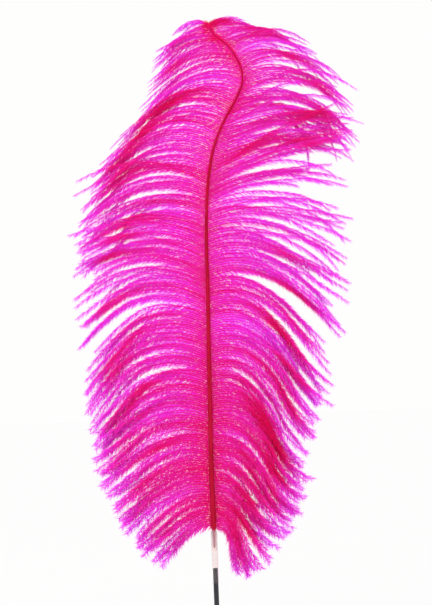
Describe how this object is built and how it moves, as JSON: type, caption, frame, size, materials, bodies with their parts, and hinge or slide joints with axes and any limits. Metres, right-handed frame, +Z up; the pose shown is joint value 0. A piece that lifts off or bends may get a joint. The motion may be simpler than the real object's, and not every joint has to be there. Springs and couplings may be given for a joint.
{
  "type": "ostrich plume on stem",
  "caption": "Single dyed ostrich plume with arching barbs on a flexible quill, held by a clear sleeve on a push-fit rod.",
  "frame": {"origin": "centre of the flat foot of the stem rod", "axes": "+Z up along the rod and the straight lower part of the quill; the barbs spread along X, and the plume's smooth back faces -Y, with the crown nodding towards +Y"},
  "size_m": [0.3424, 0.0904, 0.785],
  "materials": {
    "stem_lacquer": "satin",
    "clear_plastic": "gloss",
    "dyed_quill": "satin",
    "dyed_barbs": "matte"
  },
  "bodies": {
    "stem": {"stem_rod": "stem_lacquer"},
    "sleeve": {"clear_sleeve": "clear_plastic"},
    "plume": {"quill_grip": "clear_plastic", "quill": "dyed_quill", "barbs_left_01": "dyed_barbs", "barbs_left_02": "dyed_barbs", "barbs_left_03": "dyed_barbs", "barbs_left_04": "dyed_barbs", "barbs_left_05": "dyed_barbs", "barbs_left_06": "dyed_barbs", "barbs_left_07": "dyed_barbs", "barbs_left_08": "dyed_barbs", "barbs_left_09": "dyed_barbs", "barbs_left_10": "dyed_barbs", "barbs_left_11": "dyed_barbs", "barbs_left_12": "dyed_barbs", "barbs_left_13": "dyed_barbs", "barbs_left_14": "dyed_barbs", "barbs_left_15": "dyed_barbs", "barbs_left_16": "dyed_barbs", "barbs_left_17": "dyed_barbs", "barbs_left_18": "dyed_barbs", "barbs_left_19": "dyed_barbs", "barbs_left_20": "dyed_barbs", "barbs_right_01": "dyed_barbs", "barbs_right_02": "dyed_barbs", "barbs_right_03": "dyed_barbs", "barbs_right_04": "dyed_barbs", "barbs_right_05": "dyed_barbs", "barbs_right_06": "dyed_barbs", "barbs_right_07": "dyed_barbs", "barbs_right_08": "dyed_barbs", "barbs_right_09": "dyed_barbs", "barbs_right_10": "dyed_barbs", "barbs_right_11": "dyed_barbs", "barbs_right_12": "dyed_barbs", "barbs_right_13": "dyed_barbs", "barbs_right_14": "dyed_barbs", "barbs_right_15": "dyed_barbs", "barbs_right_16": "dyed_barbs", "barbs_right_17": "dyed_barbs", "barbs_right_18": "dyed_barbs", "barbs_right_19": "dyed_barbs", "barbs_right_20": "dyed_barbs", "barbs_tip": "dyed_barbs"}
  },
  "joints": [
    {"name": "sleeve_slide", "type": "slide", "parent": "stem", "child": "sleeve", "axis": [0, 0, 1], "range_m": [0, 0.022]},
    {"name": "plume_turn", "type": "hinge", "parent": "sleeve", "child": "plume", "pos_m": [0, 0, 0.15], "axis": [0, 0, 1], "continuous": true}
  ]
}
